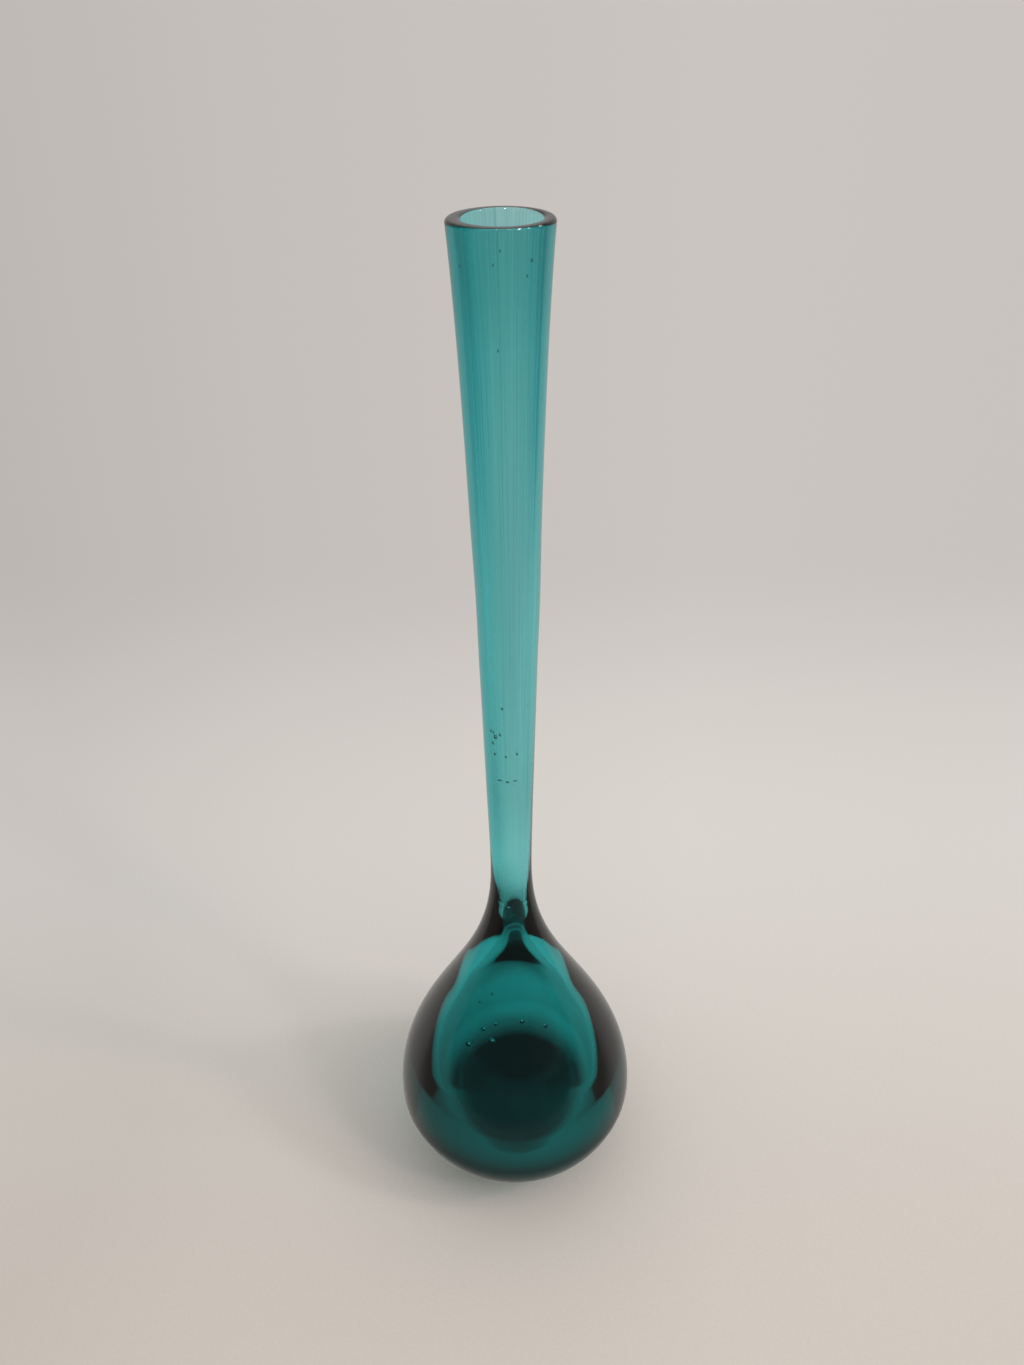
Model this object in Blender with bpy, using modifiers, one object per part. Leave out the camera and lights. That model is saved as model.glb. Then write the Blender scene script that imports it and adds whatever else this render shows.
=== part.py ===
# Single-stem vase of thick teal glass: a heavy bulb, a long thin neck and a round mouth.
# It is modelled as its two gathers of glass, one blown inside the other.
# All sizes are in metres. +Z is up, and the origin is the middle of the foot, on the surface it stands on.
import math

import bpy

# Outside of the vase
TOTAL_HEIGHT = 0.350
RIM_RADIUS = 0.0140
WAIST_RADIUS = 0.0071         # thinnest place of the neck
WAIST_HEIGHT = 0.1425
BULB_RADIUS = 0.0444
BULB_HEIGHT = 0.0320          # height of the bulb's widest ring
FOOT_RADIUS = 0.0195          # outer edge of the flat ring that the vase stands on

# Hollow ground under the foot
DISH_RADIUS = 0.0130
DISH_DEPTH = 0.0012

# Glass between the outside and the hollow
RIM_WALL = 0.0038
WAIST_WALL = 0.0027
BULB_WALL = 0.0116
BASE_WALL = 0.0125
CAVITY_RISE = 0.0065          # how far the cavity's widest ring lies above the bulb's
LIP_ROUNDING = 0.0012         # fire-polished edges of the rim

# Where the outer gather ends, and how the wall is shared
SEAM_HEIGHT = 0.1720
INNER_GATHER_SHARE = 0.4      # of the wall's thickness
GATHER_GAP = 0.0003           # keeps the two meshes apart
MERGE_DISTANCE = 0.00001      # closes each turned mesh on the axis and at its start

# Curves
SHOULDER_POWER = 2.5          # how quickly the bulb draws in to the waist
CAVITY_POWER = 3.2            # the same, for the cavity inside it
BASE_CURVE_POWER = 1.6        # 2 is an ellipse, less is more pointed
STEADY_TAPER_SHARE = 0.76     # of the neck's widening, spread evenly
FLARE_POWER = 6.5             # how late the rest of it comes
TAPER_START_SHARE = 0.03      # of the neck, over which the taper sets in

# Counts
STEPS_AROUND = 48
NECK_POINTS = 9
LOWER_NECK_POINTS = 4
SHOULDER_POINTS = 14
BASE_POINTS = 9
DISH_POINTS = 4
LIP_POINTS = 4

CAVITY_HEIGHT = BULB_HEIGHT + CAVITY_RISE


def spread(start, end, count):
    """Evenly spaced values from start to end, both included."""
    return [start + (end - start) * i / (count - 1) for i in range(count)]


def draw_in(height, low, high, wide, narrow, power):
    """Radius of a shoulder that falls from wide at low to narrow at high, along a cosine raised to a power."""
    turn = (height - low) / (high - low) * math.pi / 2
    return narrow + (wide - narrow) * max(math.cos(turn), 0) ** power


def taper(height, narrow, wide):
    """Radius of the neck above the waist: an even taper, and a late flare towards the rim."""
    share = (height - WAIST_HEIGHT) / (TOTAL_HEIGHT - WAIST_HEIGHT)
    even = (1 + TAPER_START_SHARE) * share ** 2 / (share + TAPER_START_SHARE)
    widening = STEADY_TAPER_SHARE * even + (1 - STEADY_TAPER_SHARE) * share ** FLARE_POWER
    return narrow + (wide - narrow) * widening


def outer_radius(height):
    """Radius of the vase's outside."""
    if height >= WAIST_HEIGHT:
        return taper(height, WAIST_RADIUS, RIM_RADIUS)
    if height >= BULB_HEIGHT:
        return draw_in(height, BULB_HEIGHT, WAIST_HEIGHT, BULB_RADIUS, WAIST_RADIUS, SHOULDER_POWER)
    drop = (BULB_HEIGHT - height) / BULB_HEIGHT
    return BULB_RADIUS * math.sqrt(1 - drop ** 2 * (1 - (FOOT_RADIUS / BULB_RADIUS) ** 2))


def bore_radius(height):
    """Radius of the hollow, from the cavity's widest ring up to the mouth."""
    if height >= WAIST_HEIGHT:
        return taper(height, WAIST_RADIUS - WAIST_WALL, RIM_RADIUS - RIM_WALL)
    wide = BULB_RADIUS - BULB_WALL
    return draw_in(height, CAVITY_HEIGHT, WAIST_HEIGHT, wide, WAIST_RADIUS - WAIST_WALL, CAVITY_POWER)


def seam_radius(height):
    """Radius of the surface where the two gathers meet."""
    bore = bore_radius(height)
    return bore + INNER_GATHER_SHARE * (outer_radius(height) - bore)


def bowl(wide, depth):
    """Points of a rounded bottom, from its middle up to its widest ring at the cavity's widest height."""
    points = []
    for turn in spread(0, math.pi / 2, BASE_POINTS):
        across = wide * math.sin(turn) ** (2 / BASE_CURVE_POWER)
        down = depth * max(math.cos(turn), 0) ** (2 / BASE_CURVE_POWER)
        points.append((across, CAVITY_HEIGHT - down))
    return points


def seam_points(offset):
    """The seam from its lowest point up to the cord line, moved outwards by an offset."""
    wide = seam_radius(CAVITY_HEIGHT) + offset
    depth = CAVITY_HEIGHT - BASE_WALL + INNER_GATHER_SHARE * BASE_WALL + offset
    points = bowl(wide, depth)
    for height in spread(CAVITY_HEIGHT, WAIST_HEIGHT, SHOULDER_POINTS)[1:]:
        points.append((seam_radius(height) + offset, height))
    top = SEAM_HEIGHT + GATHER_GAP - offset
    for height in spread(WAIST_HEIGHT, top, LOWER_NECK_POINTS)[1:]:
        points.append((seam_radius(height) + offset, height))
    return points


def lip_points():
    """The rim's two rounded edges, from inside the mouth to the outside."""
    height = TOTAL_HEIGHT - LIP_ROUNDING
    inner = bore_radius(height) + LIP_ROUNDING
    outer = outer_radius(height) - LIP_ROUNDING
    points = []
    for middle, start in ((inner, math.pi), (outer, math.pi / 2)):
        for turn in spread(start, start - math.pi / 2, LIP_POINTS):
            points.append((middle + LIP_ROUNDING * math.cos(turn), height + LIP_ROUNDING * math.sin(turn)))
    return points


def inner_profile():
    """From the cavity's bottom up the bore, over the lip, down the neck and the seam to the axis."""
    points = bowl(bore_radius(CAVITY_HEIGHT), CAVITY_HEIGHT - BASE_WALL)
    for height in spread(CAVITY_HEIGHT, WAIST_HEIGHT, SHOULDER_POINTS)[1:]:
        points.append((bore_radius(height), height))
    lip_start = TOTAL_HEIGHT - LIP_ROUNDING
    for height in spread(WAIST_HEIGHT, lip_start, NECK_POINTS + LOWER_NECK_POINTS)[1:-1]:
        points.append((bore_radius(height), height))
    points += lip_points()
    seam_top = SEAM_HEIGHT + GATHER_GAP
    for height in spread(lip_start, seam_top, NECK_POINTS)[1:]:
        points.append((outer_radius(height), height))
    points += reversed(seam_points(0))
    return points


def outer_profile():
    """From the seam's bottom up to the cord line, down the outside, and along the foot to the axis."""
    points = seam_points(GATHER_GAP)
    for height in spread(SEAM_HEIGHT, WAIST_HEIGHT, LOWER_NECK_POINTS):
        points.append((outer_radius(height), height))
    for height in spread(WAIST_HEIGHT, BULB_HEIGHT, SHOULDER_POINTS)[1:]:
        points.append((outer_radius(height), height))
    for turn in spread(0, math.pi / 2, BASE_POINTS)[1:]:
        height = BULB_HEIGHT * (1 - math.sin(turn))
        points.append((outer_radius(height), height))
    for radius in spread(DISH_RADIUS, 0, DISH_POINTS):
        points.append((radius, DISH_DEPTH * (1 - (radius / DISH_RADIUS) ** 2)))
    return points


def glass(name, colour, roughness):
    """A see-through glass of one colour."""
    material = bpy.data.materials.new(name)
    material.use_nodes = True
    shader = material.node_tree.nodes["Principled BSDF"]
    shader.inputs["Base Color"].default_value = (*colour, 1)
    shader.inputs["Metallic"].default_value = 0
    shader.inputs["Roughness"].default_value = roughness
    shader.inputs["IOR"].default_value = 1.5
    shader.inputs["Transmission Weight"].default_value = 1
    return material


def turned(name, profile, material, collection, parent):
    """Turns a profile, given as radius and height, round the Z axis into one closed solid."""
    vertices = [(radius, 0, height) for radius, height in profile]
    edges = [(i, i + 1) for i in range(len(vertices) - 1)]
    mesh = bpy.data.meshes.new(name)
    mesh.from_pydata(vertices, edges, [])
    mesh.materials.append(material)
    piece = bpy.data.objects.new(name, mesh)
    collection.objects.link(piece)
    piece.parent = parent
    screw = piece.modifiers.new("turn", "SCREW")
    screw.axis = "Z"
    screw.angle = 2 * math.pi
    screw.steps = STEPS_AROUND
    screw.render_steps = STEPS_AROUND
    screw.use_merge_vertices = True
    screw.merge_threshold = MERGE_DISTANCE
    screw.use_smooth_shade = True
    return piece


def build():
    for old in list(bpy.data.objects):
        bpy.data.objects.remove(old)
    collection = bpy.data.collections.new("glass_vase")
    bpy.context.scene.collection.children.link(collection)
    vase = bpy.data.objects.new("vase", None)
    collection.objects.link(vase)
    inner_glass = glass("teal_glass_inner", (0.10, 0.45, 0.44), 0.02)
    outer_glass = glass("teal_glass_outer", (0.06, 0.36, 0.35), 0.02)
    turned("inner_gather", inner_profile(), inner_glass, collection, vase)
    turned("outer_gather", outer_profile(), outer_glass, collection, vase)


build()
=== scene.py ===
import math

import bpy
import numpy as np
from mathutils import Matrix, Vector


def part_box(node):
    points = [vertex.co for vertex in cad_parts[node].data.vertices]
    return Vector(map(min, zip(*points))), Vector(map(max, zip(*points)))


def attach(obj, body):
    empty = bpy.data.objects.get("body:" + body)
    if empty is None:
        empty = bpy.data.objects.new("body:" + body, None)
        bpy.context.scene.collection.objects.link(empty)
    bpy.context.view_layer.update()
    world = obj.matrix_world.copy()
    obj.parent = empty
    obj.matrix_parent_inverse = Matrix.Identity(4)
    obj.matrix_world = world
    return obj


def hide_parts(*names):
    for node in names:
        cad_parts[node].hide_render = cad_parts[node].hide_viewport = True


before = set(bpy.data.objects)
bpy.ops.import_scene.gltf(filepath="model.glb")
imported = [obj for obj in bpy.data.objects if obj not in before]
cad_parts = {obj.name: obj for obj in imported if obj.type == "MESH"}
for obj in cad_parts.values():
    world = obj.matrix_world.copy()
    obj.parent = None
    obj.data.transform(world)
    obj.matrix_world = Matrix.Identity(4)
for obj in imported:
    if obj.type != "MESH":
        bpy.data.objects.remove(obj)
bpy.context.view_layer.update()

print("frame loaded:", sorted(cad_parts))

boxMargin = 0.0002  # how far inside the CAD's bulb the glass stays

# outside of the vase: lengths in metres here and below
outside = {
    "height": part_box("inner_gather")[1].z,
    "bulbRadius": round(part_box("outer_gather")[1].x - boxMargin, 4),
    "bulbHeight": 0.0312,           # where the bulb is widest
    "bulbPower": 1.74,              # its curve below that: 2 is an ellipse, less is more pointed
    "shoulderPower": 2.52,          # how quickly it draws in to the waist
    "waistRadius": 0.00702,
    "waistHeight": 0.1438,
    "rimRadius": 0.0138,
    "taperStart": 0.03,             # share of the neck over which its widening sets in
    "lateFlare": 0.24,              # share of the widening that comes late, and how late
    "lateFlarePower": 6.7,
    "footRadius": 0.0176,
    "footSteps": ((0.0035, 0), (0.0012, 0), (0.0005, 0.00003)),  # how far in from the foot's edge, how high
    "dishRadius": 0.0130,           # shallow hollow ground under the foot
    "dishDepth": 0.0010,
    "lip": 0.0010,                  # rounding of the fire-polished edge
    "lipStart": 0.15,               # how far past level the rounding starts, in radians
}

# hollow: a cosine power from the throat down to the widest ring, with a few soft bells, and a bowl below it
hollow = {
    "widest": 0.03235,
    "widestHeight": 0.0377,
    "floorHeight": 0.0062,
    "bowlPower": 2.65,              # 2 is an ellipse, more is boxier
    "drawPower": 2.16,
    "throat": 0.00388,
    "throatHeight": 0.1272,
    # how much wider or narrower, at what height, over what height
    "bells": (
        (0.00009, 0.0520, 0.0160),
        (0.00044, 0.0775, 0.0180),
        (0.00036, 0.0880, 0.0083),
        (-0.00053, 0.1096, 0.0080),
        (0.00030, 0.1187, 0.0060),
    ),
    "settle": 0.012,                # the bells fade in over this height above the widest ring
    "mouthRadius": 0.0102,
    "mouthFlare": 0.20,             # share of the bore's widening that comes in the last centimetre
    "mouthFlarePower": 24,
    "lowShift": (0.00042, 0.0),     # the cavity was blown a little off centre
    "highShift": (0.00045, 0.0002),
    "shiftStart": 0.15,             # where one shift begins to ease into the other, over what height
    "shiftOver": 0.10,
}

# the neck's lean to the right: an even shift that sets in above the waist, and one soft bell
bow = {
    "shift": 0.00013,
    "start": 0.17,
    "over": 0.04,
    "bell": (0.00022, 0.245, 0.016),    # how much, at what height, over what height
}

# departures of hand-blown glass from the turned shape
unevenness = {
    "outerWave": 0.00006,
    "outerWaves": ((2, 0.7, 9, 0.6), (3, 0.0, 31, 0.4)),    # turns, start, rise with height, share
    "footFade": 0.006,              # height over which the outer wave sets in; the foot stays flat
    "boreWave": 0.00010,
    "boreWaves": ((2, 1.9, 14, 0.6), (3, 0.4, -23, 0.4)),
    "ridges": 0.000006,             # fine upright ridges in the neck's bore
    "ridgeWaves": ((17, 6, 3, 1.0), (29, 4, 2, 0.0)),       # turns, swing, turns of the swing, its start
    "ridgeStart": 0.11,
    "ridgeOver": 0.03,
    "axisFade": 0.004,              # radius within which every departure fades out
    # the cord line round the neck, where the outer gather ends: a thin ridge on parts of the way round
    "cordRidge": 0.00016,
    "cordHeight": 0.1820,
    "cordWidth": 0.0004,
    "cordParts": ((4.62, 0.5, 1.0), (1.2, 0.9, 0.35)),      # middle and reach in radians, share
    "cordSway": (0.0004, 3, 1.66),  # how far it sways up and down, turns, start
}

# rings and columns of the glass's mesh
lathe = {
    "columns": 248,
    "dish": 18,
    "belowWidest": 44,
    "footCrowding": 1.6,            # these rings crowd towards the foot
    "shoulder": 64,
    "neck": 40,
    "cord": 18,                     # close rings where the cord line runs
    "cordReach": 0.0016,
    "cordClear": 0.0018,            # other rings keep this far away from the cord line
    "lip": 6,
    "bore": 44,
    "cavity": 90,
    "bowl": 48,
}


# bell curve = e^-((value - middle) / reach)^2
def bell(value, middle, reach):
    return np.exp(-((value - middle) / reach) ** 2)


# how far a height lies past a start, as a share of a given height, from 0 to 1
def setIn(z, start, over):
    return np.clip((z - start) / over, 0, 1)


# radius = narrow + (wide - narrow) * cos(turn)^power, where turn goes from 0 at low to a quarter at high
def drawIn(z, low, high, wide, narrow, power):
    turn = setIn(z, low, high - low) * math.pi / 2
    return narrow + (wide - narrow) * np.maximum(np.cos(turn), 0) ** power


# share of the neck's widening = (1 - late) * even + late * share^power, where share is that of the way up
# to the rim and even = (1 + soft) * share^2 / (share + soft)
def widening(z, start, late, power):
    share = setIn(z, start, outside["height"] - start)
    soft = outside["taperStart"]
    even = (1 + soft) * share ** 2 / (share + soft)
    return (1 - late) * even + late * share ** power


# outer radius = bulb * (1 - drop^power * (1 - (foot / bulb)^power))^(1 / power) below the widest ring, with
# drop from 0 there to 1 at the foot; a drawn-in shoulder; waist + (rim - waist) * widening on the neck
def outerRadius(z):
    bulb, bulbHeight, power = outside["bulbRadius"], outside["bulbHeight"], outside["bulbPower"]
    waist, waistHeight = outside["waistRadius"], outside["waistHeight"]
    drop = np.clip((bulbHeight - z) / bulbHeight, 0, 1)
    low = bulb * (1 - drop ** power * (1 - (outside["footRadius"] / bulb) ** power)) ** (1 / power)
    shoulder = drawIn(z, bulbHeight, waistHeight, bulb, waist, outside["shoulderPower"])
    share = widening(z, waistHeight, outside["lateFlare"], outside["lateFlarePower"])
    neck = waist + (outside["rimRadius"] - waist) * share
    return np.where(z < bulbHeight, low, np.where(z < waistHeight, shoulder, neck))


# bore radius = a drawn-in cavity plus its bells; above the throat, throat + (mouth - throat) * widening
def boreRadius(z):
    throat, throatHeight = hollow["throat"], hollow["throatHeight"]
    cavity = drawIn(z, hollow["widestHeight"], throatHeight, hollow["widest"], throat, hollow["drawPower"])
    settled = setIn(z, hollow["widestHeight"], hollow["settle"]) ** 2
    for much, middle, reach in hollow["bells"]:
        cavity = cavity + much * bell(z, middle, reach) * settled
    share = widening(z, throatHeight, hollow["mouthFlare"], hollow["mouthFlarePower"])
    neck = throat + (hollow["mouthRadius"] - throat) * share
    return np.where(z < throatHeight, cavity, neck)


# outer and bore radius at one height
def wallAt(height):
    z = np.array([height])
    return float(outerRadius(z)[0]), float(boreRadius(z)[0])


# how far the hollow's middle lies off the axis = low + (high - low) * ease^2 * (3 - 2 * ease)
def hollowShift(z):
    ease = setIn(z, hollow["shiftStart"], hollow["shiftOver"])
    ease = ease * ease * (3 - 2 * ease)
    low, high = np.array(hollow["lowShift"]), np.array(hollow["highShift"])
    return low + (high - low) * ease[..., None]


# how far the whole neck leans to the right = shift * share past its start + much * bell
def neckLean(z):
    much, middle, reach = bow["bell"]
    return bow["shift"] * setIn(z, bow["start"], bow["over"]) + much * bell(z, middle, reach)


# slow wave = sum of share * sin(turns * angle + start + rise * height)
def slowWave(angle, z, waves):
    return sum(share * np.sin(turns * angle + start + rise * z) for turns, start, rise, share in waves)


# outer departure = size * (slow wave - 1) + cord ridge, where the cord is a bell in height about a swaying
# line, times bells of the angle; all of it sets in above the foot
def outerDeparture(angle, z):
    sway, turns, start = unevenness["cordSway"]
    line = sway * np.cos(turns * (angle + start))
    parts = sum(share * bell(angle, middle, reach) for middle, reach, share in unevenness["cordParts"])
    cord = bell(z - unevenness["cordHeight"], line, unevenness["cordWidth"]) * parts
    wave = unevenness["outerWave"] * (slowWave(angle, z, unevenness["outerWaves"]) - 1)
    return (wave + unevenness["cordRidge"] * cord) * setIn(z, 0, unevenness["footFade"])


# bore departure = size * slow wave, and in the neck + ridges * the mean of
# sin(turns * angle + swing * sin(slow * angle + start))
def boreDeparture(angle, z):
    waves = unevenness["ridgeWaves"]
    ridge = 0
    for turns, swing, slow, start in waves:
        ridge = ridge + np.sin(turns * angle + swing * np.sin(slow * angle + start))
    inNeck = setIn(z, unevenness["ridgeStart"], unevenness["ridgeOver"])
    wave = unevenness["boreWave"] * slowWave(angle, z, unevenness["boreWaves"])
    return wave + unevenness["ridges"] * (ridge / len(waves)) * inNeck


# dish height = depth * (1 - (radius / dish radius)^2)^2; the steps of the foot's edge follow it
def footOutline():
    radius = np.linspace(0, outside["dishRadius"], lathe["dish"])
    height = outside["dishDepth"] * (1 - (radius / outside["dishRadius"]) ** 2) ** 2
    ring = [(outside["footRadius"] - inward, up) for inward, up in outside["footSteps"]]
    return np.concatenate([np.stack([radius, height], 1), np.array(ring)])


# heights of the outside's rings = bulb height * share^crowding below the widest ring, then evenly spaced up
# to the lip, with close ones about the cord line
def outerHeights(top):
    cord = unevenness["cordHeight"]
    low = outside["bulbHeight"] * np.linspace(0, 1, lathe["belowWidest"]) ** lathe["footCrowding"]
    shoulder = np.linspace(outside["bulbHeight"], outside["waistHeight"], lathe["shoulder"])
    even = np.linspace(outside["waistHeight"], top, lathe["neck"])[1:]
    close = cord + np.linspace(-lathe["cordReach"], lathe["cordReach"], lathe["cord"])
    neck = np.sort(np.concatenate([even[np.abs(even - cord) > lathe["cordClear"]], close]))
    return np.concatenate([low[1:], shoulder[1:], neck])


# arc point = (middle + radius * cos(turn), height + radius * sin(turn)), from one turn to another
def arcPoints(middle, height, radius, start, end, count):
    turn = np.linspace(start, end, count)
    return np.stack([middle + radius * np.cos(turn), height + radius * np.sin(turn)], 1)


# the lip's outer and inner half, each nearly a quarter of a circle that ends or starts at the top
def lipOutline(top):
    lip, start, count = outside["lip"], outside["lipStart"], lathe["lip"]
    outer, inner = wallAt(top)
    outerHalf = arcPoints(outer - lip, top, lip, start, math.pi / 2, count)
    innerHalf = arcPoints(inner + lip, top, lip, math.pi / 2, math.pi - start, count)
    return outerHalf, innerHalf


# bore and cavity down to the widest ring, then the bowl: radius = widest * cos(turn)^(2 / power),
# drop = depth * sin(turn)^(2 / power)
def hollowOutline(top):
    widest, widestHeight, rounding = hollow["widest"], hollow["widestHeight"], 2 / hollow["bowlPower"]
    bore = np.linspace(top, hollow["throatHeight"], lathe["bore"])
    cavity = np.linspace(hollow["throatHeight"], widestHeight, lathe["cavity"])[1:]
    z = np.concatenate([bore, cavity])
    turn = np.linspace(0, math.pi / 2, lathe["bowl"])[1:]
    across = widest * np.maximum(np.cos(turn), 0) ** rounding
    drop = (widestHeight - hollow["floorHeight"]) * np.sin(turn) ** rounding
    return np.concatenate([np.stack([boreRadius(z), z], 1), np.stack([across, widestHeight - drop], 1)])


# radius and height of the outline in two parts: dish, foot, outside and the lip's outer half; then the
# lip's inner half, bore, cavity and bowl
def vaseOutline():
    top = outside["height"] - outside["lip"]
    outerHalf, innerHalf = lipOutline(top)
    z = outerHeights(top)
    outerPart = np.concatenate([footOutline(), np.stack([outerRadius(z), z], 1), outerHalf])
    innerPart = np.concatenate([innerHalf, hollowOutline(top)])
    return outerPart, innerPart


# one closed skin from rings of points: each ring is joined to the next, and the first and the last one
# to a point on the axis
def ringSkin(rows, poleStart, poleEnd):
    count, columns, _ = rows.shape
    index = np.arange(count * columns).reshape(count, columns) + 1
    ring, following = index[:-1], index[1:]
    quads = np.stack([ring, np.roll(ring, -1, 1), np.roll(following, -1, 1), following], -1).reshape(-1, 4)
    last = count * columns + 1
    firstFan = np.stack([np.zeros(columns, int), np.roll(index[0], -1), index[0]], 1)
    lastFan = np.stack([np.full(columns, last), index[-1], np.roll(index[-1], -1)], 1)
    points = np.concatenate([[poleStart], rows.reshape(-1, 3), [poleEnd]])
    return points, quads, np.concatenate([firstFan, lastFan])


# a mesh object straight from arrays of points, quads and triangles; marks go into an attribute
def meshPiece(name, points, quads, triangles, material, smooth=True, marks=None):
    mesh = bpy.data.meshes.new(name)
    loops = np.concatenate([quads.ravel(), triangles.ravel()]).astype(np.int32)
    quadStarts = np.arange(len(quads)) * 4
    triangleStarts = len(quads) * 4 + np.arange(len(triangles)) * 3
    starts = np.concatenate([quadStarts, triangleStarts]).astype(np.int32)
    mesh.vertices.add(len(points))
    mesh.vertices.foreach_set("co", points.astype(np.float32).ravel())
    mesh.loops.add(len(loops))
    mesh.loops.foreach_set("vertex_index", loops)
    mesh.polygons.add(len(starts))
    mesh.polygons.foreach_set("loop_start", starts)
    mesh.polygons.foreach_set("use_smooth", np.full(len(starts), smooth))
    mesh.materials.append(material)
    mesh.update(calc_edges=True)
    mesh.validate()
    if marks is not None:
        attribute = mesh.attributes.new("outerSkin", "FLOAT", "POINT")
        attribute.data.foreach_set("value", marks.astype(np.float32))
    piece = bpy.data.objects.new(name, mesh)
    bpy.context.scene.collection.objects.link(piece)
    return piece


# skin point = (radius + departure) * (cos, sin) of the angle, moved by the hollow's shift where it is bore,
# and by the neck's lean
def glassSkin(outerPart, innerPart):
    angle = np.linspace(0, 2 * math.pi, lathe["columns"], endpoint=False)
    profile = np.concatenate([outerPart, innerPart])[1:-1]  # the two ends become the poles
    radius, height = profile[:, 0:1], profile[:, 1]
    isBore = (np.arange(len(profile)) >= len(outerPart) - 1)[:, None]
    z = profile[:, 1:2] * np.ones(len(angle))
    departure = np.where(isBore, boreDeparture(angle[None], z), outerDeparture(angle[None], z))
    radius = radius + departure * np.clip(radius / unevenness["axisFade"], 0, 1)
    rows = np.stack([radius * np.cos(angle), radius * np.sin(angle), z], -1)
    rows[:, :, :2] += (hollowShift(height) * isBore)[:, None]
    rows[:, :, 0] += neckLean(height)[:, None]
    floorHeight = hollow["floorHeight"]
    return ringSkin(rows, (0, 0, outside["dishDepth"]), (*hollowShift(np.array(floorHeight)), floorHeight))


# trapped bubbles, each an empty ellipsoid in the wall: angle from the front in degrees, height in metres,
# depth in the wall from the outside (0 to 1), half width and half length in mm
bubbles = {
    "neck": [
        (-25.9, 0.1824, 0.50, 0.70, 0.15),   # three flat ones end to end make the short dark line
        (13.9, 0.1824, 0.50, 0.66, 0.14),
        (-5.7, 0.1820, 0.50, 0.60, 0.07),
        (-14.7, 0.2106, 0.52, 0.38, 0.52),   # the cluster above it
        (-45.1, 0.2011, 0.40, 0.42, 0.53),
        (-39.9, 0.2006, 0.60, 0.36, 0.42),
        (-33.7, 0.1993, 0.51, 0.61, 0.78),
        (-21.5, 0.2005, 0.51, 0.36, 0.53),
        (-41.9, 0.1965, 0.51, 0.42, 0.54),
        (-37.3, 0.1924, 0.50, 0.43, 0.54),
        (-8.1, 0.1922, 0.51, 0.36, 0.47),
        (19.5, 0.1931, 0.51, 0.36, 0.54),
        (-0.4, 0.3449, 0.40, 0.23, 0.38),    # single seeds under the rim
        (-8.9, 0.3416, 0.50, 0.23, 0.38),
        (37.9, 0.3421, 0.51, 0.31, 0.43),
        (32.4, 0.3385, 0.51, 0.23, 0.43),
        (-52.4, 0.3405, 0.31, 0.23, 0.33),
        (-5.5, 0.3208, 0.51, 0.23, 0.44),
    ],
    "bulb": [
        (-27.6, 0.0918, 0.81, 0.41, 0.62),
        (-40.5, 0.0875, 0.80, 0.41, 0.62),
        (-28.9, 0.0797, 0.80, 0.88, 0.75),   # an arc of six
        (-18.2, 0.0825, 0.80, 0.66, 0.66),
        (8.5, 0.0839, 0.80, 0.88, 0.88),
        (30.7, 0.0802, 0.80, 0.75, 0.89),
        (-38.8, 0.0726, 0.80, 0.98, 0.90),
        (-19.1, 0.0767, 0.81, 0.97, 0.80),
        (-10.6, 0.1264, 0.61, 0.53, 0.53),   # a single one at the base of the neck
    ],
    "rings": 8,
    "columns": 12,
}


# ellipsoid point = middle + across * cos(v) * (cos u, sin u) sideways and up * sin(v) in height; its faces
# look at its own middle, where the air is
def bubbleSkin(middle, across, up):
    v = np.linspace(-math.pi / 2, math.pi / 2, bubbles["rings"] + 2)[1:-1]
    u = np.linspace(0, 2 * math.pi, bubbles["columns"], endpoint=False)
    rows = np.stack([
        across * np.cos(v)[:, None] * np.cos(u)[None],
        across * np.cos(v)[:, None] * np.sin(u)[None],
        up * np.sin(v)[:, None] * np.ones(len(u))[None],
    ], -1) + middle
    points, quads, triangles = ringSkin(rows, middle - (0, 0, up), middle + (0, 0, up))
    return points, quads[:, ::-1], triangles[:, ::-1]


# middle of a bubble = outer radius - depth * wall at its height, turned from the front by its angle
def bubbleMiddle(turned, height, depth):
    way = math.radians(turned)
    outer, inner = wallAt(height)
    reach = outer - depth * (outer - inner)
    return np.array([math.sin(way) * reach, -math.cos(way) * reach, height])


# several skins as one mesh: the faces of each count on from the points before them
def joinSkins(skins):
    counts = np.cumsum([0] + [len(points) for points, _, _ in skins])
    points = np.concatenate([skin[0] for skin in skins])
    quads = np.concatenate([skin[1] + count for skin, count in zip(skins, counts)])
    triangles = np.concatenate([skin[2] + count for skin, count in zip(skins, counts)])
    return points, quads, triangles


# puts a value into each socket: another node's output is linked, a number or colour is set
def feed(tree, sockets, values):
    for socket, value in zip(sockets, values):
        if isinstance(value, bpy.types.NodeSocket):
            tree.links.new(value, socket)
        else:
            socket.default_value = value


# a material with its node tree and its shader
def newMaterial(name):
    material = bpy.data.materials.new(name)
    material.use_nodes = True
    return material, material.node_tree, material.node_tree.nodes["Principled BSDF"]


# a node with its settings
def addNode(tree, kind, **settings):
    node = tree.nodes.new(kind)
    for key, value in settings.items():
        setattr(node, key, value)
    return node


# one step of arithmetic on one or two values
def mathNode(tree, operation, first, second=0.0, clamp=False):
    node = addNode(tree, "ShaderNodeMath", operation=operation, use_clamp=clamp)
    feed(tree, node.inputs, (first, second))
    return node.outputs[0]


# the same on vectors; SCALE takes a number, LENGTH and DOT_PRODUCT give one
def vectorNode(tree, operation, *values):
    node = addNode(tree, "ShaderNodeVectorMath", operation=operation)
    second = node.inputs["Scale"] if operation == "SCALE" else node.inputs[1]
    feed(tree, (node.inputs[0], second), values)
    return node.outputs["Value" if operation in ("LENGTH", "DOT_PRODUCT") else "Vector"]


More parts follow.
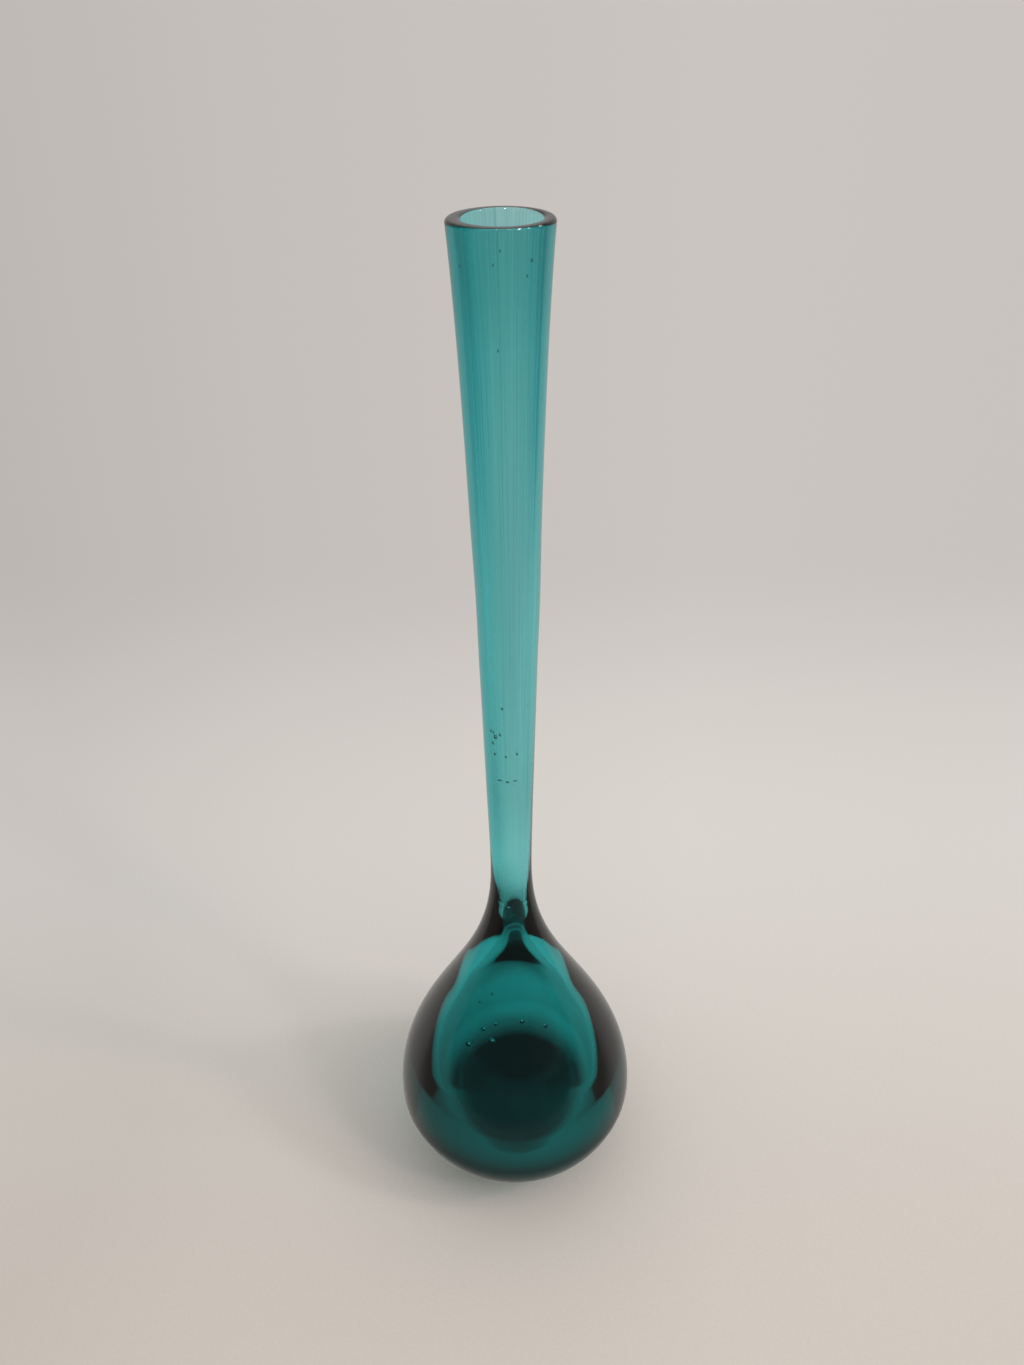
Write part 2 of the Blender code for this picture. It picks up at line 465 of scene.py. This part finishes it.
# goes from toLow to toHigh while the value goes from low to high, and is level outside them
def rangeNode(tree, value, low, high, toLow, toHigh, way="SMOOTHSTEP"):
    node = addNode(tree, "ShaderNodeMapRange", interpolation_type=way)
    names = ("Value", "From Min", "From Max", "To Min", "To Max")
    feed(tree, [node.inputs[name] for name in names], (value, low, high, toLow, toHigh))
    return node.outputs[0]


# line through stops, each a place from 0 to 1 and a level or a colour
def curveNode(tree, value, stops, way="LINEAR"):
    node = addNode(tree, "ShaderNodeValToRGB")
    line = node.color_ramp
    line.interpolation = way
    line.elements[0].position, line.elements[1].position = stops[0][0], stops[-1][0]
    for place, _ in stops[1:-1]:
        line.elements.new(place)
    for element, (_, level) in zip(line.elements, stops):
        element.color = (*level, 1) if isinstance(level, tuple) else (level, level, level, 1)
    tree.links.new(value, node.inputs[0])
    return node.outputs[0]


# (1 - share) * first + share * second
def blendNode(tree, share, first, second):
    node = addNode(tree, "ShaderNodeMix", data_type="FLOAT")
    feed(tree, (node.inputs[0], node.inputs[2], node.inputs[3]), (share, first, second))
    return node.outputs[0]


# the same for colours, or another way of mixing them
def colourNode(tree, share, first, second, way="MIX"):
    node = addNode(tree, "ShaderNodeMix", data_type="RGBA", blend_type=way)
    feed(tree, (node.inputs[0], node.inputs[6], node.inputs[7]), (share, first, second))
    return node.outputs[2]


# the same for shaders
def shaderNode(tree, share, first, second):
    node = addNode(tree, "ShaderNodeMixShader")
    feed(tree, node.inputs, (share, first, second))
    return node.outputs[0]


# noise level at a place
def noiseNode(tree, place, scale, detail):
    node = addNode(tree, "ShaderNodeTexNoise")
    feed(tree, [node.inputs[name] for name in ("Vector", "Scale", "Detail")], (place, scale, detail))
    return node.outputs[0]


# x, y and z of a vector
def partsOf(tree, vector):
    node = addNode(tree, "ShaderNodeSeparateXYZ")
    tree.links.new(vector, node.inputs[0])
    return tuple(node.outputs)


# places on the piece's own mesh
def ownPlaces(tree):
    return addNode(tree, "ShaderNodeTexCoord").outputs["Object"]


# colour and finish of the glass; tables go from place to level
glassLook = {
    "ior": 1.50,
    "absorb": (247.0, 52.0, 51.5),  # per metre, red green blue
    "densityMargin": 1.05,          # keeps the colour of what passes above black
    "passing": 0.85,                # share of the lamp's light that each surface lets through to the floor
    "groundFoot": 0.05,             # roughness of the flat ring under the foot, the only ground place
    "groundUpTo": (0.00004, 0.00008),   # heights over which the ground glass turns clear
    # upright streaks in the neck: fine ones from noise, broad ones by place from left (0) to right (1)
    "streaksUpTo": (0.13, 0.17),    # heights over which they set in
    "streaksAround": 55.0,          # how close together the fine ones stand
    "streaksAlong": 12.0,           # how short they are
    "streakDetail": 2.0,
    "noiseEdges": (0.50, 0.66),     # the noise between these levels goes from clear to a full fine streak
    "fineStreaks": 0.28,
    "streakTint": (0.02, 0.46, 0.52),
    "highStreaks": (
        (0.0, 0.0), (0.05, 0.12), (0.08, 0.4), (0.11, 0.68), (0.15, 0.75), (0.157, 0.45), (0.164, 0.45),
        (0.172, 0.72), (0.20, 0.72), (0.25, 0.38), (0.30, 0.22), (0.35, 0.15), (0.40, 0.03), (0.60, 0.0),
        (0.65, 0.10), (0.70, 0.10), (0.75, 0.28), (0.80, 0.42), (0.85, 0.75), (0.875, 0.65), (0.882, 1.0),
        (0.892, 1.0), (0.900, 0.6), (0.925, 0.45), (0.95, 0.18), (1.0, 0.0),
    ),
    "lowStreaks": (
        (0.0, 0.0), (0.08, 0.20), (0.15, 0.22), (0.20, 0.24), (0.30, 0.20), (0.40, 0.14), (0.50, 0.06),
        (0.60, 0.0), (0.85, 0.0), (0.90, 0.08), (0.95, 0.22), (1.0, 0.0),
    ),
    "lowToHigh": (0.24, 0.31),      # heights between which the low streaks change to the high ones
    "frontEdges": (-0.10, 0.10),    # the broad streaks and the bands are on the front only
    # how much of the light the front skin lets through, by height in metres
    "bands": (
        (0.150, 1.0), (0.175, 0.79), (0.195, 0.88), (0.212, 0.94), (0.235, 1.0), (0.300, 1.0), (0.320, 0.95),
        (0.333, 0.80), (0.348, 0.72),
    ),
    "bandScale": 2.5,               # places on the curve per metre
}


# tint of the glass's surface = (white to teal by the streaks) * band level at its height
def skinTint(tree, place, z):
    look = glassLook
    outward = vectorNode(tree, "NORMALIZE", vectorNode(tree, "MULTIPLY", place, (1, 1, 0)))
    around = vectorNode(tree, "SCALE", outward, look["streaksAround"])
    along = vectorNode(tree, "MULTIPLY", place, (0, 0, look["streaksAlong"]))
    noise = noiseNode(tree, vectorNode(tree, "ADD", around, along), 1.0, look["streakDetail"])
    fine = rangeNode(tree, noise, *look["noiseEdges"], 0.0, look["fineStreaks"])
    sideways, depth, _ = partsOf(tree, outward)
    aside = mathNode(tree, "ADD", mathNode(tree, "MULTIPLY", sideways, 0.5), 0.5)  # -1 to 1 becomes 0 to 1
    isHigh = rangeNode(tree, z, *look["lowToHigh"], 0.0, 1.0)
    lowStreaks = curveNode(tree, aside, look["lowStreaks"])
    highStreaks = curveNode(tree, aside, look["highStreaks"])
    front = rangeNode(tree, depth, *look["frontEdges"], 1.0, 0.0)
    outerSkin = addNode(tree, "ShaderNodeAttribute", attribute_name="outerSkin").outputs["Fac"]
    broad = mathNode(tree, "MULTIPLY", blendNode(tree, isHigh, lowStreaks, highStreaks), front)
    broad = mathNode(tree, "MULTIPLY", broad, outerSkin)
    inNeck = rangeNode(tree, z, *look["streaksUpTo"], 0.0, 1.0)
    amount = mathNode(tree, "MULTIPLY", inNeck, mathNode(tree, "ADD", broad, fine))
    stops = [(height * look["bandScale"], level) for height, level in look["bands"]]
    bands = curveNode(tree, mathNode(tree, "MULTIPLY", z, look["bandScale"]), stops)
    bands = blendNode(tree, mathNode(tree, "MULTIPLY", front, outerSkin), 1.0, bands)
    return vectorNode(tree, "SCALE", colourNode(tree, amount, (1, 1, 1, 1), (*look["streakTint"], 1)), bands)


# clear glass that takes its colour from the way the light goes through it; the lamps' light passes to
# the floor by a plain share
def tealGlass():
    look = glassLook
    material, tree, shader = newMaterial("tealGlass")
    output = tree.nodes["Material Output"]
    shader.inputs["Metallic"].default_value = 0
    shader.inputs["IOR"].default_value = look["ior"]
    shader.inputs["Transmission Weight"].default_value = 1
    volume = addNode(tree, "ShaderNodeVolumeAbsorption")
    density = max(look["absorb"]) * look["densityMargin"]
    volume.inputs["Density"].default_value = density
    volume.inputs["Color"].default_value = (*[1 - rate / density for rate in look["absorb"]], 1)
    passing = addNode(tree, "ShaderNodeBsdfTransparent")
    passing.inputs["Color"].default_value = (*[look["passing"]] * 3, 1)
    isShadow = addNode(tree, "ShaderNodeLightPath").outputs["Is Shadow Ray"]
    surface = shaderNode(tree, isShadow, shader.outputs[0], passing.outputs[0])
    place = ownPlaces(tree)
    _, _, z = partsOf(tree, place)
    roughness = rangeNode(tree, z, *look["groundUpTo"], look["groundFoot"], 0.0)
    tree.links.new(roughness, shader.inputs["Roughness"])
    tree.links.new(skinTint(tree, place, z), shader.inputs["Base Color"])
    tree.links.new(volume.outputs[0], output.inputs["Volume"])
    tree.links.new(surface, output.inputs["Surface"])
    return material


# the vase: the skin of the glass, with every bubble as a void in its wall
outerPart, innerPart = vaseOutline()
skins = [glassSkin(outerPart, innerPart)]
for turned, height, depth, wide, tall in bubbles["neck"] + bubbles["bulb"]:
    skins.append(bubbleSkin(bubbleMiddle(turned, height, depth), wide / 1000, tall / 1000))
points, quads, triangles = joinSkins(skins)
outerSkin = np.zeros(len(points))
outerSkin[1:len(outerPart) * lathe["columns"]] = 1  # the outside, up to the top of the lip
vase = meshPiece("vase", points, quads, triangles, tealGlass(), marks=outerSkin)
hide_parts("inner_gather", "outer_gather")
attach(vase, "root")
print("vase:", len(vase.data.polygons), "faces")


# pale sheet under and behind the vase; depth means how far back from the vase's middle
floorLook = {
    "radius": 16.0,
    "sides": 96,
    "below": 0.0002,                # how far under the foot it lies
    "roughness": 0.9,
    "depth": (-0.2, 0.8),           # the tones run over this depth
    # painted light: the paper is one colour; these tones make it brightest just behind the vase and dimmer
    # in front and far back, where less light falls
    "lightTones": (
        (0.05, (0.640, 0.588, 0.538)),      # in front of the vase
        (0.36, (0.690, 0.667, 0.638)),      # just behind it
        (0.70, (0.580, 0.556, 0.543)),      # the backdrop
    ),
    # the light falls off to the left: level by direction as seen from the camera, from far left to far right
    "across": ((0.0, 0.88), (0.25, 0.96), (0.5, 1.0), (0.70, 1.036), (1.0, 1.016)),
    "acrossNear": 0.35,             # added to the depth, so that the directions meet in front of the vase
    "acrossSpread": 1.15,
    "grain": 900,                   # fine grain of the paper
    "grainDetail": 3,
    "grainEdges": (0.3, 0.7),
    "grainLevels": (0.985, 1.015),
    # level by distance from the vase's middle, in tenths of a metre, as seen through the glass:
    # the unlit gap under the bulb, the edge of the shadow, the open sheet
    "behind": (
        (0.0, 0.0), (0.44, 0.001), (0.52, 0.17), (0.61, 0.40), (0.72, 0.68), (0.85, 0.90), (1.0, 1.0),
    ),
    "before": (
        (0.0, 0.004), (0.27, 0.006), (0.37, 0.18), (0.44, 0.33), (0.62, 0.60), (0.80, 0.85), (1.0, 1.0),
    ),
    "beforeToBehind": (0.0045, 0.0085),     # depths between which the one changes to the other
    # painted light: the paler patch under the foot, where light falls through the bulb onto the sheet:
    # level, half width, far edge, how far its corners run out, soft edge
    "litPatchLevel": 0.006,
    "litPatchWide": 0.0172,
    "litPatchFar": 0.0148,
    "litPatchCorners": 0.005,
    "litPatchEdge": 0.001,
    "shadowSide": 0.78,             # the vase shades the sheet on its left
    "lampSide": 1.08,
    "shadowAcross": (-0.07, 0.05),
    "shadowUpTo": (0.09, 0.16),     # distances over which the shade ends
    # painted shade: in mirror images the sheet shows dimmer than it is lit, most in front of the vase
    "mirrorShadeFront": 0.36,               # level of what lies in front, in mirror images
    "mirrorShadeBehind": 0.72,
    "mirrorDepth": (-0.06, 0.01),   # depths between which the one changes to the other
    "mirrorNear": 0.08,             # they move back beyond this distance, by this much per metre
    "mirrorSlope": 0.42,
    "dimInFront": 0.45,                 # painted shade: the level the glass shows of the sheet in front of these depths, for the dark room in front
    "dimInFrontDepths": (-0.30, -0.15),
}


# colour of the sheet = painted light tone by depth * painted light falloff by direction * the paper's fine
# grain
def sheetColour(tree, place, x, y, lightTone):
    look = floorLook
    ahead = mathNode(tree, "ADD", mathNode(tree, "ABSOLUTE", y), look["acrossNear"])
    way = mathNode(tree, "MULTIPLY", mathNode(tree, "DIVIDE", x, ahead), look["acrossSpread"])
    halves = [(spot, level / 2) for spot, level in look["across"]]  # a curve holds no level above 1
    across = curveNode(tree, mathNode(tree, "ADD", way, 0.5, clamp=True), halves)
    across = mathNode(tree, "MULTIPLY", across, 2.0)
    noise = noiseNode(tree, place, look["grain"], look["grainDetail"])
    grain = rangeNode(tree, noise, *look["grainEdges"], *look["grainLevels"])
    return colourNode(tree, 1, lightTone, mathNode(tree, "MULTIPLY", across, grain), "MULTIPLY")


# level of the painted shade in the gap under the bulb: in front of the foot's middle the curve before it,
# and behind that the painted light of the lit patch where |x| < half width and y - corners * (x / half
# width)^2 < far edge, or else the curve behind it
def gapLevel(tree, x, y, away):
    look = floorLook
    tenths = mathNode(tree, "MULTIPLY", away, 10.0, clamp=True)
    wide, far, edge = look["litPatchWide"], look["litPatchFar"], look["litPatchEdge"]
    aside = mathNode(tree, "ABSOLUTE", x)
    outward = mathNode(tree, "POWER", mathNode(tree, "DIVIDE", aside, wide), 2.0)
    depth = mathNode(tree, "SUBTRACT", y, mathNode(tree, "MULTIPLY", outward, look["litPatchCorners"]))
    inLitPatch = mathNode(tree, "MULTIPLY", rangeNode(tree, aside, wide - edge, wide + edge, 1.0, 0.0),
                       rangeNode(tree, depth, far - edge, far + edge, 1.0, 0.0))
    behind = blendNode(tree, inLitPatch, curveNode(tree, tenths, look["behind"]), look["litPatchLevel"])
    isBehind = rangeNode(tree, y, *look["beforeToBehind"], 0.0, 1.0)
    return blendNode(tree, isBehind, curveNode(tree, tenths, look["before"]), behind)


# level of the sheet in the glass = painted shade of the gap * shade on the left, seen through it, or the
# painted shade of the mirror level, seen in its surface; both dimmed further by painted shade in front of
# the dim depths
def levelInGlass(tree, x, y, away, isThrough):
    look = floorLook
    shadeEnds = rangeNode(tree, away, *look["shadowUpTo"], 0.0, 1.0)
    shade = rangeNode(tree, x, *look["shadowAcross"], look["shadowSide"], look["lampSide"])
    through = mathNode(tree, "MULTIPLY", gapLevel(tree, x, y, away), blendNode(tree, shadeEnds, shade, 1.0))
    beyondNear = mathNode(tree, "MAXIMUM", mathNode(tree, "SUBTRACT", away, look["mirrorNear"]), 0.0)
    depth = mathNode(tree, "SUBTRACT", y, mathNode(tree, "MULTIPLY", beyondNear, look["mirrorSlope"]))
    mirrorShade = rangeNode(tree, depth, *look["mirrorDepth"], look["mirrorShadeFront"], look["mirrorShadeBehind"])
    frontDimming = rangeNode(tree, y, *look["dimInFrontDepths"], look["dimInFront"], 1.0)
    return mathNode(tree, "MULTIPLY", blendNode(tree, isThrough, mirrorShade, through), frontDimming)


# pale matt sheet; the glass shows it by its own painted brightness: painted shade in the gap round the foot,
# a painted patch of light under the foot and painted shade in mirror images
def paperFloor():
    look = floorLook
    material, tree, shader = newMaterial("paleFloor")
    shader.inputs["Roughness"].default_value = look["roughness"]
    shader.inputs["Specular IOR Level"].default_value = 0.0
    place = ownPlaces(tree)
    x, y, _ = partsOf(tree, place)
    # painted light: the sheet's tone by depth
    lightTone = curveNode(tree, rangeNode(tree, y, *look["depth"], 0.0, 1.0, "LINEAR"), look["lightTones"], "EASE")
    tree.links.new(sheetColour(tree, place, x, y, lightTone), shader.inputs["Base Color"])
    path = addNode(tree, "ShaderNodeLightPath").outputs
    isThrough = path["Is Transmission Ray"]
    level = levelInGlass(tree, x, y, vectorNode(tree, "LENGTH", place), isThrough)
    shown = addNode(tree, "ShaderNodeEmission")
    tree.links.new(lightTone, shown.inputs["Color"])
    tree.links.new(level, shown.inputs["Strength"])
    viaGlass = mathNode(tree, "ADD", path["Is Glossy Ray"], isThrough, clamp=True)
    surface = shaderNode(tree, viaGlass, shader.outputs[0], shown.outputs[0])
    tree.links.new(surface, tree.nodes["Material Output"].inputs["Surface"])
    return material


# a flat disc: rim point = radius * (cos, sin) of the turn, joined to the middle
def paleStage():
    sides = floorLook["sides"]
    turn = np.linspace(0, 2 * math.pi, sides, endpoint=False)
    rim = np.stack([np.cos(turn), np.sin(turn), np.zeros(sides)], 1) * floorLook["radius"]
    index = np.arange(sides)
    fan = np.stack([np.zeros(sides, int), index + 1, np.roll(index, -1) + 1], 1)
    points = np.concatenate([[(0, 0, 0)], rim])
    floor = meshPiece("floor", points, np.zeros((0, 4), int), fan, paperFloor(), smooth=False)
    floor.location.z = -floorLook["below"]


paleStage()
print("floor: radius", floorLook["radius"], "m")

scene = bpy.context.scene

lamps = {
    "colour": (1.0, 0.985, 0.97),
    # share of the floor's light, then softness, way round from the back and height in degrees
    "placed": {
        "softKey": (0.15, 30, 112, 47),
        "sideLamp": (0.06, 6, 105, 42),
        "cornerLamp": (0.045, 6, 127, 42),
    },
}


# a far lamp on the right: strength = pi * share / sin(height), and the room gives the floor's other light
def farLamp(name):
    share, softness, wayRound, height = lamps["placed"][name]
    side, up = math.radians(wayRound), math.radians(height)
    data = bpy.data.lights.new(name, "SUN")
    data.angle = math.radians(softness)
    data.energy = math.pi * share / math.sin(up)
    data.color = lamps["colour"]
    lamp = bpy.data.objects.new(name, data)
    scene.collection.objects.link(lamp)
    towards = Vector((math.sin(side) * math.cos(up), math.cos(side) * math.cos(up), math.sin(up)))
    lamp.matrix_world = Matrix.Translation(towards) @ towards.to_track_quat("Z", "Y").to_matrix().to_4x4()
    lamp.visible_glossy = False
    lamp.visible_transmission = False


for lampName in lamps["placed"]:
    farLamp(lampName)
print("lamps:", ", ".join(lamps["placed"]))

# levels by direction, each with the two places on its axis (-1 to 1) between which it sets in
room = {
    "pale": (0.62, 0.59, 0.55),     # what the camera sees all round
    "light": (1.0, 0.97, 0.95),     # colour of all other light from the room
    "fill": 0.75,                   # level that lights dull surfaces
    "side": 0.06,
    "back": 0.53,
    "backEdges": (0.25, 0.75),
    "front": 0.10,
    "frontEdges": (-0.7, 0.0),
    "right": 0.05,
    "rightEdges": (0.2, 0.8),
    "top": 0.3,
    "topInside": 0.45,              # share of it that is seen through the glass
    "topEdges": (0.6, 0.9),
    "low": 0.5,                     # just above the horizon, seen through the glass
    "lowEdges": (0.14, 0.24),
    # lamps on the ceiling that glint in the glass and light nothing else: way round from the front, height
    # and half width in degrees, level
    "ceiling": (
        (-100, 69, 1.7, 60),
        (-90, 87, 1.7, 55),
        (100, 83, 1.5, 50),
        (100, 71, 1.8, 60),
        (100, 59, 2.0, 90),
        (130, 45, 2.0, 90),
    ),
    "ceilingSoft": 1.25,            # each one fades out at this much of its half width
}


# level = the greatest of back, sides and overhead, plus the right, and no less than the low band through
# the glass
def roomLevel(tree, x, y, z, isThrough):
    overhead = mathNode(tree, "MULTIPLY", rangeNode(tree, z, *room["topEdges"], 0.0, room["top"]),
                        blendNode(tree, isThrough, 1.0, room["topInside"]))
    behind = rangeNode(tree, y, *room["backEdges"], room["side"], room["back"])
    ahead = rangeNode(tree, y, *room["frontEdges"], room["front"], room["side"])
    glow = mathNode(tree, "MAXIMUM", mathNode(tree, "MAXIMUM", behind, ahead), overhead)
    glow = mathNode(tree, "ADD", glow, rangeNode(tree, x, *room["rightEdges"], 0.0, room["right"]))
    low = mathNode(tree, "MULTIPLY", rangeNode(tree, z, *room["lowEdges"], room["low"], 0.0), isThrough)
    return mathNode(tree, "MAXIMUM", glow, low)


# level of the ceiling's lamps = a soft-edged disc about each one's direction
def ceilingLevel(tree, direction):
    glints = []
    for wayRound, height, size, level in room["ceiling"]:
        way, up = math.radians(wayRound), math.radians(height)
        aim = (math.sin(way) * math.cos(up), -math.cos(way) * math.cos(up), math.sin(up))
        edges = [math.cos(math.radians(size * share)) for share in (room["ceilingSoft"], 1)]
        glints.append(rangeNode(tree, vectorNode(tree, "DOT_PRODUCT", direction, aim), *edges, 0.0, level))
    total = glints[0]
    for glint in glints[1:]:
        total = mathNode(tree, "ADD", total, glint)
    return total


# the room: pale behind the vase, dim at the sides, in front and overhead; even for dull surfaces, and pale
# all round for the camera
def studioRoom():
    world = bpy.data.worlds.new("room")
    scene.world = world
    world.use_nodes = True
    tree = world.node_tree
    direction = addNode(tree, "ShaderNodeTexCoord").outputs["Generated"]
    x, y, z = partsOf(tree, direction)
    path = addNode(tree, "ShaderNodeLightPath").outputs
    # glints show only to rays that come straight off the outside of the glass
    notDull = mathNode(tree, "LESS_THAN", path["Diffuse Depth"], 0.5)
    notInside = mathNode(tree, "LESS_THAN", path["Transmission Depth"], 0.5)
    mirrorRay = mathNode(tree, "MULTIPLY", path["Is Glossy Ray"], notDull)
    straightRay = mathNode(tree, "MULTIPLY", mirrorRay, notInside)
    glints = mathNode(tree, "MULTIPLY", ceilingLevel(tree, direction), straightRay)
    glow = mathNode(tree, "ADD", roomLevel(tree, x, y, z, path["Is Transmission Ray"]), glints)
    isCamera = path["Is Camera Ray"]
    strength = blendNode(tree, isCamera, blendNode(tree, path["Is Diffuse Ray"], glow, room["fill"]), 1.0)
    colour = colourNode(tree, isCamera, (*room["light"], 1), (*room["pale"], 1))
    background = tree.nodes["Background"]
    tree.links.new(colour, background.inputs["Color"])
    tree.links.new(strength, background.inputs["Strength"])


studioRoom()

# light goes in and out of thick glass many times
bounces = {"max_bounces": 20, "transmission_bounces": 20, "glossy_bounces": 10}
for bounceName, count in bounces.items():
    setattr(scene.cycles, bounceName, count)
scene.view_settings.view_transform = "Standard"
print("room: pale behind the vase, dim at the sides")

# the photo's camera, fitted to the vase's outline
camera = {
    "place": (0.0012, -0.2933, 0.4094),
    "pitch": 33.51,                 # degrees below level
    "roll": -0.86,
    "focalPixels": 1150,            # focal length and height of the photo in its own pixels
    "photoPixels": 1365,
    "sensor": 36,                   # mm, along the photo's height
}


# lens = focal length in pixels / photo's height in pixels * sensor
def photoCamera():
    data = bpy.data.cameras.new("camera")
    data.sensor_fit = "AUTO"
    data.sensor_width = camera["sensor"]
    data.lens = camera["focalPixels"] / camera["photoPixels"] * camera["sensor"]
    holder = bpy.data.objects.new("camera", data)
    scene.collection.objects.link(holder)
    tilt = Matrix.Rotation(math.radians(90 - camera["pitch"]), 4, "X")
    roll = Matrix.Rotation(math.radians(camera["roll"]), 4, "Z")
    holder.matrix_world = Matrix.Translation(camera["place"]) @ tilt @ roll
    scene.camera = holder


photoCamera()
print("camera at", camera["place"])
